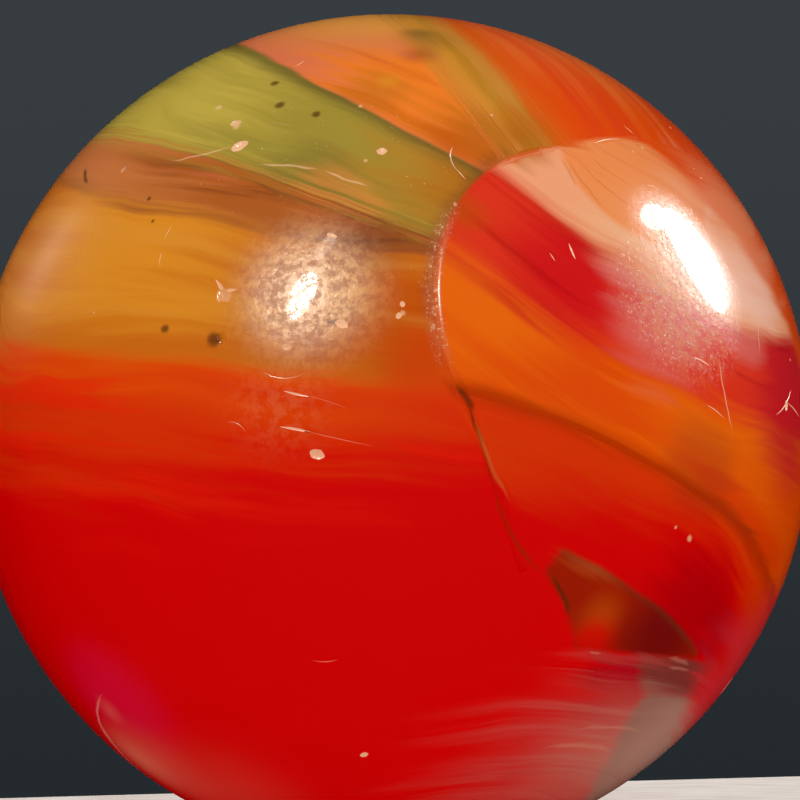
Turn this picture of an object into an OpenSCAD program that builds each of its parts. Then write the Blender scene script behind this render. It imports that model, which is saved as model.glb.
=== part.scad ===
// Glass marble: one solid ball of swirled glass, pressed round between rollers.
// The hot gob folded over on itself, which left a shallow crease on one side, and play
// has since knocked small shell-shaped chips out of the surface.
//
// The origin is the centre of the ball, and +Z is up. A place on the ball is given by its
// bearing, in degrees from the front (-Y) towards +X, and its height above the middle.

/* [Ball] */
// Diameter of the ball
ball_d = 16; // [12:0.5:25]

/* [Fold crease] */
// Width of the crease
crease_w = 0.16; // [0.08:0.01:0.3]
// Depth of the crease
crease_deep = 0.022; // [0.01:0.001:0.04]
// Radius of the crease's round upper part, as an angle seen from the centre of the ball
crease_bend = 24; // [18:0.5:30]
// Length of the crease's straight lower part
crease_tail = 3.4; // [1.5:0.1:4.5]
// Width of the pocket where the two parts of the crease meet
pocket_w = 0.26; // [0.16:0.01:0.4]
// Depth of that pocket
pocket_deep = 0.08; // [0.03:0.005:0.1]

/* [Chips] */
// Width of the wide shallow flakes
flake_w = 0.46; // [0.3:0.02:0.8]
// Depth of the wide shallow flakes
flake_deep = 0.045; // [0.03:0.005:0.08]
// Width of the small nicks
nick_w = 0.26; // [0.14:0.02:0.4]
// Depth of the small nicks
nick_deep = 0.03; // [0.015:0.005:0.05]

/* [Hidden] */
$fn = 96;
ball_fn = 240;

ball_r = ball_d / 2;

// Crease: the bearing and height of its bend's centre, and where the bend starts and stops,
// as angles round that centre from the direction of rising bearing.
bend_at = [31, 16];
bend_from = 100;
bend_to = 204;
// How far the tail turns outwards from the direction in which the bend ends.
tail_turn = 7;

// Bearing and height of each chip.
flakes = [[-27, 40], [-23, 18], [66, 4], [148, 22], [-118, -14]];
nicks = [[-22.5, 12], [-1.5, 39], [-9.5, -2.5], [-6.5, 14], [-5, -46], [-50, 37],
         [-13.5, 11], [80, -36], [96, 30], [-170, -6], [-84, 31], [118, -32]];

// How far the ball's own curve drops across half of a cut's width.
function drop(w) = ball_r - sqrt(ball_r * ball_r - w * w / 4);

// Radius of the round tool that cuts a hollow of a given width and depth in the ball.
function tool_r(w, deep) =
    let (below = deep - drop(w))
    (w * w / 4 + below * below) / (2 * below);

// Distance of that tool's centre from the centre of the ball.
function tool_out(w, deep) = ball_r - deep + tool_r(w, deep);

// Angle at the centre of the ball under a length of its surface.
function arc_angle(len) = len / ball_r * 180 / PI;

// Turns what follows to face out of the ball at a place: +Z out, +X level, +Y up.
module facing(bearing, height) {
    rotate([90 - height, 0, bearing]) children();
}

// A shell-shaped hollow, as a knock breaks out of glass.
module hollow(at, w, deep) {
    facing(at[0], at[1])
        translate([0, 0, tool_out(w, deep)])
            sphere(r = tool_r(w, deep));
}

// A round-bottomed groove along part of a circle drawn on the ball about +Z. The circle's
// radius is an angle seen from the centre of the ball.
module groove(radius, from, to, w, deep) {
    reach = tool_out(w, deep);
    rotate([0, 0, from])
        rotate_extrude(angle = to - from)
            translate([reach * sin(radius), reach * cos(radius)])
                circle(r = tool_r(w, deep));
}

// Turns what follows to the place where the bend of the crease ends: +Z out of the ball
// and +Y on along the crease.
module bend_end() {
    facing(bend_at[0], bend_at[1])
        rotate([0, crease_bend, bend_to])
            children();
}

// The crease that the last fold of glass left: a bend, a straight tail that runs on from
// it, and the open pocket where they meet.
module crease() {
    facing(bend_at[0], bend_at[1])
        groove(crease_bend, bend_from, bend_to, crease_w, crease_deep);
    bend_end()
        rotate([0, -90, -tail_turn])
            groove(90, 0, arc_angle(crease_tail), crease_w, crease_deep);
    bend_end()
        translate([0, 0, tool_out(pocket_w, pocket_deep)])
            sphere(r = tool_r(pocket_w, pocket_deep));
}

// Every chip that play has knocked out of the surface.
module chips() {
    for (at = flakes) hollow(at, flake_w, flake_deep);
    for (at = nicks) hollow(at, nick_w, nick_deep);
}

// The whole marble.
module marble() {
    color([0.80, 0.16, 0.03])
        difference() {
            sphere(r = ball_r, $fn = ball_fn);
            crease();
            chips();
        }
}

marble();
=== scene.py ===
"""A worn glass marble, swirled red, orange and olive, on a pale board in soft studio light.

The ball is made by Geometry Nodes from a mesh of marks, where a lone point is a chip and a chain
of points is a groove. Its glass is painted by a node tree, which lays soft fields of colour,
streaks, hairlines and spots on the ball, and then its wear. Part of that paint is light and
shade: the haze and glints of the lamps on the worn glass, darker gaps in that haze, and shade
beside the fold and in its pocket.

A place on the ball is a bearing and a height, both in degrees. Bearing 0 faces the camera and
grows towards +X, and the height is counted up from the middle of the ball. Lengths are in metres.
"""

from __future__ import annotations

import logging
import math
from dataclasses import dataclass
from enum import Enum
from typing import Any, ClassVar, Iterable, Sequence, Union

import bmesh
import bpy
from mathutils import Matrix, Vector

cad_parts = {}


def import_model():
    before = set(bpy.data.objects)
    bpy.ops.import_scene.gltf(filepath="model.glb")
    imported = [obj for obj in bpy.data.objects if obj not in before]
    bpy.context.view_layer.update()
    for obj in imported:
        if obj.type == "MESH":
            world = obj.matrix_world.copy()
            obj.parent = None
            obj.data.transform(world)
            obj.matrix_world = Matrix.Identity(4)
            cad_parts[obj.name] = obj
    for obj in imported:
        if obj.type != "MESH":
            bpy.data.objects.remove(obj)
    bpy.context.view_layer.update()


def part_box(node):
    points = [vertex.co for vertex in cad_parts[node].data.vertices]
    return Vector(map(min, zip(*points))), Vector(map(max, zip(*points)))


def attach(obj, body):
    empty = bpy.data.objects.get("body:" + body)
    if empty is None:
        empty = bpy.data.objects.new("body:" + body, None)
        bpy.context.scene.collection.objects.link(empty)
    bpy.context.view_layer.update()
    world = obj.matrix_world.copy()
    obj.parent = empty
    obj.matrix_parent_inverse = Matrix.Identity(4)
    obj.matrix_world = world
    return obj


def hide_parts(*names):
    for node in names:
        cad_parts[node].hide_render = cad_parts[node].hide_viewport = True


MM = 0.001
LOG = logging.getLogger("marble")

Feed = Union[bpy.types.NodeSocket, float, int, Sequence[float], bpy.types.ID]
Colour = tuple[float, float, float, float]


# ---------------------------------------------------------------- places and colours


@dataclass(frozen=True)
class Place:
    """A place on the ball.

    Args:
        bearing: Degrees round from the camera's side, growing towards +X.
        height: Degrees up from the middle of the ball.
    """

    bearing: float
    height: float

    def direction(self) -> Vector:
        """Returns the unit vector from the ball's centre through the place.

        Returns:
            The unit vector.
        """
        bearing, height = math.radians(self.bearing), math.radians(self.height)
        level = math.cos(height)
        return Vector((level * math.sin(bearing), -level * math.cos(bearing), math.sin(height)))


class Glass(Enum):
    """The colours of the glass, as hexadecimal red, green and blue."""

    DEEP_RED = "C60000"
    DARK_RED = "9A0008"
    CRIMSON = "C00A10"
    CARMINE = "B40E20"
    SCARLET = "CE2C14"
    RED_ORANGE = "CA2E00"
    ORANGE_RED = "D24400"
    ORANGE = "DC6200"
    BRIGHT_ORANGE = "E27414"
    SALMON = "D26C44"
    RUST = "B44400"
    AMBER = "BE6410"
    HONEY = "D2861E"
    OCHRE = "B87C2C"
    OLD_GOLD = "A87422"
    PALE_OCHRE = "D8943A"
    GREY_TAN = "AC741C"
    TAN = "DE7C38"
    BROWN = "A2521A"
    PINK_BROWN = "BA6A34"
    DARK_BROWN = "5C2A12"
    OLIVE = "96822E"
    PALE_OLIVE = "BAA240"
    DARK_OLIVE = "5E4E22"
    PEACH = "E0946A"
    PALE_PEACH = "DEA67C"
    ROSE = "CE6C62"
    MILK = "8E5E50"
    PALE_MILK = "B4806E"
    SMOKE = "5E0A10"
    EMBER = "B44604"
    DARK_LINE = "8A2000"
    BRIGHT_RED = "D81800"
    BRONZE = "A86010"
    DEEP_EMBER = "8C1C06"
    GREY_BROWN = "74322A"
    DIM_CORAL = "B43C34"
    PURPLE_BROWN = "66281E"
    PALE_AMBER = "D08A34"
    UMBER = "62301C"
    MAROON = "7A2418"
    MOSS = "6C6424"
    CHIPPED_AND_GLINT = "F0B488"
    FROST_AND_HAZE = "DCB078"
    GRAIN_AND_GLINT = "ECC4B4"
    GAP_SHADE = "8A4420"
    DARK_MARK_AND_SHADE = "4A2410"
    PALE_THREAD_AND_GLINT = "E6B284"
    MILKY_THREAD = "C88468"
    CORAL_RED = "CA282C"
    FAWN = "C06428"
    CORAL = "CC4434"
    PINK_RED = "C80A2E"
    PALE_CORAL = "B86858"
    WINE = "98101C"
    CRESCENT = "DC785E"
    PINK_THREAD = "DC8074"

    def linear(self) -> Colour:
        """Returns the colour as linear red, green, blue and an alpha of 1.

        Returns:
            The colour.
        """
        parts = [int(self.value[i : i + 2], 16) / 255 for i in (0, 2, 4)]
        red, green, blue = (
            part / 12.92 if part <= 0.04045 else ((part + 0.055) / 1.055) ** 2.4 for part in parts
        )
        return (red, green, blue, 1.0)


# ---------------------------------------------------------------- node building


class Bench:
    """Adds nodes to one tree and joins them up.

    Args:
        tree: The tree that the nodes go in.
    """

    def __init__(self, tree: bpy.types.NodeTree) -> None:
        """Takes the tree."""
        self.tree = tree

    def node(
        self, kind: str, feeds: dict[str | int, Feed] | None = None, **settings: Any
    ) -> bpy.types.Node:
        """Adds a node, sets it up and feeds its inputs.

        Args:
            kind: The node's type, such as "ShaderNodeMath".
            feeds: What goes into each input, by the input's name or number.
            settings: The node's own settings.

        Returns:
            The new node.
        """
        made = self.tree.nodes.new(kind)
        for name, value in settings.items():
            setattr(made, name, value)
        for key, value in (feeds or {}).items():
            self.feed(made.inputs[key], value)
        return made

    def feed(self, socket: bpy.types.NodeSocket, value: Feed) -> None:
        """Links a socket to another, or gives it a plain value.

        Args:
            socket: The socket.
            value: What goes into it.
        """
        if isinstance(value, bpy.types.NodeSocket):
            self.tree.links.new(value, socket)
        else:
            socket.default_value = value

    def math(self, operation: str, *values: Feed) -> bpy.types.NodeSocket:
        """Returns the result of a Math node."""
        return self.node("ShaderNodeMath", dict(enumerate(values)), operation=operation).outputs[0]

    def vector(self, operation: str, *values: Feed) -> bpy.types.NodeSocket:
        """Returns the vector that a Vector Math node makes."""
        made = self.node("ShaderNodeVectorMath", dict(enumerate(values)), operation=operation)
        return made.outputs["Vector"]

    def measure(self, operation: str, *values: Feed) -> bpy.types.NodeSocket:
        """Returns the number that a Vector Math node makes."""
        made = self.node("ShaderNodeVectorMath", dict(enumerate(values)), operation=operation)
        return made.outputs["Value"]

    def scale(self, vector: Feed, factor: Feed) -> bpy.types.NodeSocket:
        """Returns a vector times a number."""
        made = self.node("ShaderNodeVectorMath", {"Vector": vector, "Scale": factor}, operation="SCALE")
        return made.outputs["Vector"]

    def ramp(self, value: Feed, low: Feed, high: Feed) -> bpy.types.NodeSocket:
        """Returns 0 where a value is at low and 1 where it is at high, easing in at both ends.

        Args:
            value: The value.
            low: What gives 0. It may be over high.
            high: What gives 1.

        Returns:
            The output socket, from 0 to 1.
        """
        feeds = {"Value": value, "From Min": low, "From Max": high}
        made = self.node("ShaderNodeMapRange", feeds, interpolation_type="SMOOTHSTEP")
        return made.outputs["Result"]

    def mix(self, share: Feed, under: Feed, over: Feed) -> bpy.types.NodeSocket:
        """Returns one colour laid over another, by the share of the upper one that shows."""
        return self.node("ShaderNodeMix", {0: share, 6: under, 7: over}, data_type="RGBA").outputs[2]

    def laid(self, under: Feed, *coats: tuple[Feed, float, Glass]) -> Feed:
        """Returns a colour with others laid over it.

        Args:
            under: The colour that they lie on.
            coats: Each one's mask, how much of it shows and its colour, from the lowest up.

        Returns:
            The output socket.
        """
        for mask, strength, glass in coats:
            under = self.mix(self.math("MULTIPLY", mask, strength), under, glass.linear())
        return under

    def weighed(self, base: float, *parts: tuple[Feed, float]) -> Feed:
        """Returns a number plus each of several masks times its own weight.

        Args:
            base: The number.
            parts: Each mask and its weight.

        Returns:
            The output socket.
        """
        total: Feed = base
        for mask, weight in parts:
            total = self.math("MULTIPLY_ADD", mask, weight, total)
        return total

    def product(self, *masks: Feed) -> Feed:
        """Returns several masks multiplied together.

        Args:
            masks: The masks.

        Returns:
            The output socket.
        """
        found = masks[0]
        for mask in masks[1:]:
            found = self.math("MULTIPLY", found, mask)
        return found

    def blend(self, share: Feed, first: Feed, second: Feed) -> bpy.types.NodeSocket:
        """Returns a vector between two, by the share of the second."""
        made = self.node("ShaderNodeMix", {0: share, 4: first, 5: second}, data_type="VECTOR")
        return made.outputs[1]

    def noise(
        self, point: Feed, scale: Feed, detail: float = 2.0, rough: float = 0.5, output: str = "Fac"
    ) -> bpy.types.NodeSocket:
        """Returns a noise pattern.

        Args:
            point: Where it is read.
            scale: How fine it is.
            detail: How many finer layers it has.
            rough: How strong those layers are.
            output: "Fac" for a number or "Color" for three.

        Returns:
            The output socket.
        """
        feeds = {"Vector": point, "Scale": scale, "Detail": detail, "Roughness": rough}
        return self.node("ShaderNodeTexNoise", feeds).outputs[output]

    def any_of(self, masks: Iterable[bpy.types.NodeSocket]) -> bpy.types.NodeSocket:
        """Returns the greatest of several masks.

        Args:
            masks: The masks.

        Returns:
            The output socket.
        """
        found: bpy.types.NodeSocket | None = None
        for mask in masks:
            found = mask if found is None else self.math("MAXIMUM", found, mask)
        assert found is not None
        return found


def blank_material(name: str) -> tuple[bpy.types.Material, Bench]:
    """Returns a new material with no nodes in it, and the bench for its nodes.

    Args:
        name: The material's name.

    Returns:
        The material, and the bench for its nodes.
    """
    made = bpy.data.materials.new(name)
    made.use_nodes = True
    made.node_tree.nodes.clear()
    return made, Bench(made.node_tree)


class Effect:
    """A shader node group with named inputs and outputs, built once and placed wherever it is used."""

    name: ClassVar[str]
    inputs: ClassVar[dict[str, str]]
    outputs: ClassVar[dict[str, str]]

    def fill(self, bench: Bench, given: bpy.types.Node, result: bpy.types.Node) -> None:
        """Builds the inside of the group.

        Args:
            bench: Where its nodes are made.
            given: The node that holds the group's inputs.
            result: The node that takes its outputs.
        """
        raise NotImplementedError

    def tree(self) -> bpy.types.NodeTree:
        """Returns the group's tree, which is built the first time.

        Returns:
            The tree.
        """
        if self.name in bpy.data.node_groups:
            return bpy.data.node_groups[self.name]
        tree = bpy.data.node_groups.new(self.name, "ShaderNodeTree")
        for direction, sockets in (("INPUT", self.inputs), ("OUTPUT", self.outputs)):
            for name, kind in sockets.items():
                tree.interface.new_socket(name=name, in_out=direction, socket_type=f"NodeSocket{kind}")
        given, result = tree.nodes.new("NodeGroupInput"), tree.nodes.new("NodeGroupOutput")
        self.fill(Bench(tree), given, result)
        return tree

    def place(self, bench: Bench, **feeds: Feed) -> bpy.types.NodeSocket:
        """Places the group in a material.

        Args:
            bench: Where it goes.
            feeds: What goes into each of its inputs, by name.

        Returns:
            Its first output.
        """
        made = bench.node("ShaderNodeGroup", node_tree=self.tree())
        for name, value in feeds.items():
            bench.feed(made.inputs[name], value)
        return made.outputs[0]


class RoundField(Effect):
    """A round area with a soft edge, which streaks may tear. A negative fade gives what is outside."""

    name = "round_field"
    inputs = {"Point": "Vector", "Centre": "Vector", "Radius": "Float", "Fade": "Float", "Tear": "Float"}
    outputs = {"Mask": "Float"}

    def fill(self, bench: Bench, given: bpy.types.Node, result: bpy.types.Node) -> None:
        """Builds the mask from the angle between the point and the centre.

        Args:
            bench: Where the group's nodes are made.
            given: The node that holds the group's inputs.
            result: The node that takes its outputs.
        """
        fade = given.outputs["Fade"]
        angle = bench.math("ARCCOSINE", bench.measure("DOT_PRODUCT", given.outputs[0], given.outputs[1]))
        torn = bench.math("MULTIPLY_ADD", given.outputs["Tear"], fade, angle)
        outer = bench.math("ADD", given.outputs["Radius"], fade)
        inner = bench.math("SUBTRACT", given.outputs["Radius"], fade)
        bench.feed(result.inputs[0], bench.ramp(torn, outer, inner))


class Stroke(Effect):
    """A short line along a circle on the ball, thin at both ends."""

    name = "stroke"
    inputs = {
        "Point": "Vector",
        "Pole": "Vector",
        "Angle": "Float",
        "Width": "Float",
        "Middle": "Vector",
        "Reach": "Float",
    }
    outputs = {"Mask": "Float"}

    def fill(self, bench: Bench, given: bpy.types.Node, result: bpy.types.Node) -> None:
        """Builds the line across from its circle and along from its middle.

        Args:
            bench: Where the group's nodes are made.
            given: The node that holds the group's inputs.
            result: The node that takes its outputs.
        """
        point, reach = given.outputs["Point"], given.outputs["Reach"]
        angle = bench.math("ARCCOSINE", bench.measure("DOT_PRODUCT", point, given.outputs["Pole"]))
        across = bench.math("ABSOLUTE", bench.math("SUBTRACT", angle, given.outputs["Angle"]))
        away = bench.measure("DISTANCE", point, given.outputs["Middle"])
        along = bench.ramp(away, reach, bench.math("MULTIPLY", reach, 0.4))
        half = bench.math("MULTIPLY_ADD", given.outputs["Width"], along, 1e-5)
        bench.feed(result.inputs[0], bench.math("MULTIPLY", bench.ramp(across, half, 0.0), along))


class Ripple(Effect):
    """Moves a point a little, so that edges drawn from it waver."""

    name = "ripple"
    inputs = {"Point": "Vector", "Scale": "Float", "Amount": "Float", "Seed": "Float"}
    outputs = {"Point": "Vector"}

    def fill(self, bench: Bench, given: bpy.types.Node, result: bpy.types.Node) -> None:
        """Adds a centred noise to the point and puts it back on the unit ball.

        Args:
            bench: Where the group's nodes are made.
            given: The node that holds the group's inputs.
            result: The node that takes its outputs.
        """
        shifted = bench.vector("ADD", given.outputs["Point"], given.outputs["Seed"])
        push = bench.noise(shifted, given.outputs["Scale"], 2.0, 0.5, "Color")
        centred = bench.scale(bench.vector("SUBTRACT", push, (0.5, 0.5, 0.5)), given.outputs["Amount"])
        moved = bench.vector("NORMALIZE", bench.vector("ADD", given.outputs["Point"], centred))
        bench.feed(result.inputs[0], moved)


class FlowStreaks(Effect):
    """Long streaks that run round a pole, as drawn glass does, in three independent layers."""

    name = "flow_streaks"
    inputs = {"Point": "Vector", "Pole": "Vector", "Fineness": "Float", "Waver": "Float", "Seed": "Float"}
    outputs = {"Layers": "Color"}

    def fill(self, bench: Bench, given: bpy.types.Node, result: bpy.types.Node) -> None:
        """Reads a noise that changes fast away from the pole and slowly round it.

        Args:
            bench: Where the group's nodes are made.
            given: The node that holds the group's inputs.
            result: The node that takes its outputs.
        """
        point, pole = given.outputs["Point"], given.outputs["Pole"]
        angle = bench.math("ARCCOSINE", bench.measure("DOT_PRODUCT", point, pole))
        sway = bench.noise(bench.vector("ADD", point, given.outputs["Seed"]), 2.2, 1.0)
        swayed = bench.math("MULTIPLY_ADD", sway, given.outputs["Waver"], angle)
        along = bench.scale(pole, bench.math("MULTIPLY", swayed, given.outputs["Fineness"]))
        place = bench.vector("ADD", bench.scale(point, 0.8), along)
        seeded = bench.vector("ADD", place, given.outputs["Seed"])
        bench.feed(result.inputs[0], bench.noise(seeded, 1.0, 4.0, 0.65, "Color"))


# ---------------------------------------------------------------- what is painted


@dataclass(frozen=True)
class Area:
    """A round area on the ball.

    Args:
        bearing: Bearing of its centre.
        height: Height of its centre.
        radius: From its centre to the middle of its edge, in degrees.
        fade: Half the width of its edge, in degrees.
        outside: Whether what lies outside it is meant.
    """

    bearing: float
    height: float
    radius: float
    fade: float = 1.0
    outside: bool = False

    def mask(self, bench: Bench, point: Feed, tear: Feed = 0.0) -> bpy.types.NodeSocket:
        """Returns the area as a mask.

        Args:
            bench: Where its nodes are made.
            point: Where it is read.
            tear: How far streaks pull its edge, in shares of its fade.

        Returns:
            The output socket, from 0 to 1.
        """
        return RoundField().place(
            bench,
            Point=point,
            Centre=Place(self.bearing, self.height).direction(),
            Radius=math.radians(self.radius),
            Fade=math.radians(-self.fade if self.outside else self.fade),
            Tear=tear,
        )


class Layer(Enum):
    """The independent layers of the streaks."""

    TEAR = "Red"
    PALE = "Green"
    DARK = "Blue"


@dataclass(frozen=True)
class Tint:
    """A colour that fills what several areas share.

    Args:
        colour: The colour.
        areas: The areas.
        strength: How much of it shows, from 0 to 1.
        streaks: Between which values of a layer of streaks it appears, where it is streaky.
        layer: The layer that is read.
        smooth: Whether its edges are whole, where streaks tear those of other tints.
    """

    colour: Glass
    areas: tuple[Area, ...]
    strength: float = 1.0
    streaks: tuple[float, float] | None = None
    layer: Layer = Layer.PALE
    smooth: bool = False


@dataclass(frozen=True)
class Draw:
    """A way the glass was drawn: its streaks run round a pole in what several areas share.

    Args:
        pole: The pole.
        areas: The areas.
    """

    pole: Place
    areas: tuple[Area, ...]


@dataclass(frozen=True)
class Bend:
    """A short run along a circle on the ball.

    Args:
        start: Where it starts, as bearing and height.
        middle: A place about half way.
        end: Where it ends.
    """

    start: tuple[float, float]
    middle: tuple[float, float]
    end: tuple[float, float]

    def pole(self) -> Vector:
        """Returns the direction to the circle's centre.

        Returns:
            A unit vector, on the same side of the ball as the run.
        """
        start, middle, end = (Place(*at).direction() for at in (self.start, self.middle, self.end))
        normal = (middle - start).cross(end - start).normalized()
        return normal if normal.dot(start) > 0 else -normal

    def opening(self) -> float:
        """Returns the angle between the circle and its centre."""
        return math.acos(self.pole().dot(Place(*self.start).direction()))

    def directions(self, step: float) -> tuple[Vector, ...]:
        """Returns directions along the run, at most a step of degrees apart.

        Args:
            step: The most degrees from one direction to the next.

        Returns:
            The directions, from start to end.
        """
        pole = self.pole()
        start, end = Place(*self.start).direction(), Place(*self.end).direction()
        across, other = start - pole * pole.dot(start), end - pole * pole.dot(end)
        turn = math.atan2(pole.dot(across.cross(other)), across.dot(other))
        count = max(2, math.ceil(math.degrees(abs(turn)) * across.length / step))
        return tuple(Matrix.Rotation(turn * i / count, 3, pole) @ start for i in range(count + 1))


@dataclass(frozen=True)
class Line:
    """A painted hairline.

    Args:
        bend: Where it runs.
        width: Its half width, in degrees.
    """

    bend: Bend
    width: float

    def mask(self, bench: Bench, point: Feed) -> bpy.types.NodeSocket:
        """Returns the line as a mask.

        Args:
            bench: Where the nodes are made.
            point: Where it is read.

        Returns:
            The output socket, from 0 to 1.
        """
        middle = Place(*self.bend.middle).direction()
        ends = (Place(*at).direction() for at in (self.bend.start, self.bend.end))
        return Stroke().place(
            bench,
            Point=point,
            Pole=self.bend.pole(),
            Angle=self.bend.opening(),
            Width=math.radians(self.width),
            Middle=middle,
            Reach=max((end - middle).length for end in ends),
        )


@dataclass(frozen=True)
class Spot:
    """A painted spot.

    Args:
        bearing: Bearing of its centre.
        height: Height of its centre.
        size: Its radius, in degrees.
    """

    bearing: float
    height: float
    size: float

    def mask(self, bench: Bench, point: Feed) -> bpy.types.NodeSocket:
        """Returns the spot as a mask.

        Args:
            bench: Where the nodes are made.
            point: Where it is read.

        Returns:
            The output socket, from 0 to 1.
        """
        away = bench.measure("DISTANCE", point, Place(self.bearing, self.height).direction())
        size = math.radians(self.size)
        return bench.ramp(away, size, 0.3 * size)


def line(*run: float) -> Line:
    """Returns a line from the bearings and heights of its start, middle and end, and its width."""
    return Line(Bend(run[0:2], run[2:4], run[4:6]), run[6])


CROWN_EDGE = Area(84, 62, 49.2, 0.5)
FEATHER = Area(92, 36, 56, 2)
OLIVE_EDGE = Area(101, 67, 68.3, 2.4)
BROWN_EDGE = Area(44, 80, 58.6, 1.8)
AMBER_EDGE = Area(81, 85, 82.5, 1.6)
SCARLET_EDGE = Area(73, 56, 56.3, 2.5)
PEACH_EDGE = Area(68, 51, 38.6, 1.5)
WINDOW = Area(36, -26, 16.5, 0.8)
BLOCK = Area(48, -36, 11.5, 4)
WINDOW_TOP = Area(-19, -62, 55.9, 0.5)
WINDOW_SIDE = Area(-2, -34, 26.1, 0.6, True)
WINDOW_FOOT = Area(-16, -84, 57.3, 0.7, True)
UNDER_WINDOW = Area(-16, -84, 57.1, 0.7)
MILK_TOP = Area(5, -77, 46, 1.5)
UNDER_AMBER = Area(-24, -64, 77.5, 1.5)

# Left of the fold the bands lie one over another, from the foot of the ball up.
LEFT_BANDS = (
    Tint(Glass.RED_ORANGE, (Area(-36, 78, 82, 6),)),
    Tint(Glass.ORANGE_RED, (Area(0, 86, 80.5, 4),)),
    Tint(Glass.BRIGHT_RED, (Area(-36, 78, 89, 6),), 0.6, (0.5, 0.62)),
    Tint(Glass.AMBER, (AMBER_EDGE,)),
    Tint(Glass.HONEY, (Area(-42, 26, 22, 12), Area(81, 85, 77, 4)), 0.8),
    Tint(Glass.RUST, (Area(6, 10, 11, 7), AMBER_EDGE), 0.8),
    Tint(Glass.PALE_AMBER, (Area(81, 85, 78, 3),), 0.35, (0.48, 0.7)),
    Tint(Glass.RED_ORANGE, (Area(4.5, 8, 5, 3),), 0.6),
    Tint(Glass.RUST, (Area(1, 18, 4, 3),), 0.4),
    Tint(Glass.PALE_OCHRE, (Area(-6, 19, 3.5, 3.5),), 0.5),
    Tint(Glass.RUST, (Area(81, 85, 81, 2),), 0.35, (0.48, 0.7), Layer.DARK),
    Tint(Glass.PINK_BROWN, (BROWN_EDGE,)),
    Tint(Glass.BROWN, (Area(-2, 34, 33, 12), BROWN_EDGE), 0.95),
    Tint(Glass.SALMON, (BROWN_EDGE,), 0.35, (0.5, 0.62)),
    Tint(Glass.UMBER, (Area(-8, 35, 26, 10), BROWN_EDGE), 0.5, (0.5, 0.62), Layer.DARK),
    Tint(Glass.MAROON, (Area(3, 29, 11, 5), BROWN_EDGE), 0.7, (0.42, 0.56)),
    Tint(Glass.UMBER, (Area(-3, 26.5, 4.5, 4),), 0.5, smooth=True),
    Tint(Glass.DARK_BROWN, (Area(44, 80, 59.2, 0.8), Area(44, 80, 57.6, 1.4, True)), 0.35),
    Tint(Glass.OLIVE, (OLIVE_EDGE,)),
    Tint(Glass.PALE_OLIVE, (Area(-50, 50, 14, 12), OLIVE_EDGE), 0.9),
    Tint(Glass.OLD_GOLD, (Area(10, 35, 12, 7), OLIVE_EDGE), 0.9),
    Tint(Glass.BRONZE, (Area(11, 33.5, 5, 4), OLIVE_EDGE), 0.8),
    Tint(Glass.PALE_OLIVE, (OLIVE_EDGE,), 0.35, (0.5, 0.7)),
    Tint(Glass.MOSS, (OLIVE_EDGE, Area(-12, 45, 24, 12)), 0.35, (0.48, 0.66), Layer.DARK),
    Tint(Glass.DARK_OLIVE, (Area(-13, 35.5, 5, 3), OLIVE_EDGE), 0.3),
    Tint(Glass.TAN, (Area(-8, 31, 6, 2.5),), 0.4, (0.42, 0.58)),
    Tint(Glass.DARK_OLIVE, (Area(84, 62, 51, 1.4),), 0.75),
    Tint(Glass.SALMON, (CROWN_EDGE,)),
    Tint(Glass.BRIGHT_ORANGE, (Area(8, 52, 13, 8), CROWN_EDGE), 0.9),
    Tint(Glass.BRONZE, (Area(-3, 50.5, 4, 3), CROWN_EDGE), 0.5),
    Tint(Glass.AMBER, (Area(14, 41, 7, 5), CROWN_EDGE), 0.7),
    Tint(Glass.RUST, (Area(13, 40, 4, 3), CROWN_EDGE), 0.5),
    Tint(Glass.RUST, (CROWN_EDGE,), 0.35, (0.52, 0.7), Layer.DARK),
    Tint(Glass.PALE_OCHRE, (Area(-5, 80, 14, 8),), 0.8, smooth=True),
    Tint(Glass.OCHRE, (FEATHER, CROWN_EDGE), 0.9),
    Tint(Glass.HONEY, (Area(92, 36, 56, 3), CROWN_EDGE), 0.5, (0.5, 0.62)),
    Tint(Glass.GREY_TAN, (Area(92, 36, 53.5, 1.2), CROWN_EDGE), 0.8, (0.4, 0.56), Layer.DARK),
    Tint(Glass.RUST, (Area(92, 36, 55, 2), Area(22, 42, 5, 5)), 0.7),
    Tint(Glass.MOSS, (Area(92, 36, 54, 2), Area(21, 40, 4, 4)), 0.6, (0.45, 0.58)),
    Tint(Glass.ORANGE_RED, (Area(97, 32, 54, 2), CROWN_EDGE), 0.8),
    Tint(Glass.BRONZE, (Area(21, 42, 5, 4), CROWN_EDGE), 0.6),
    Tint(Glass.DARK_OLIVE, (Area(11, 65.5, 3.2, 3),), 0.4, smooth=True),
    Tint(Glass.DARK_OLIVE, (Area(10, 68, 1.6, 1.8),), 0.5, smooth=True),
    Tint(Glass.PURPLE_BROWN, (Area(7.5, 60, 1.8, 2),), 0.45, smooth=True),
    Tint(Glass.HONEY, (Area(-0.5, 53, 1.2, 1.4),), 0.6, smooth=True),
    # Painted shade along the left of the fold's upper rim.
    Tint(Glass.UMBER, (Area(31, 16, 25.6, 1.2), Area(5, 30, 14, 5)), 0.4),
)

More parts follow.
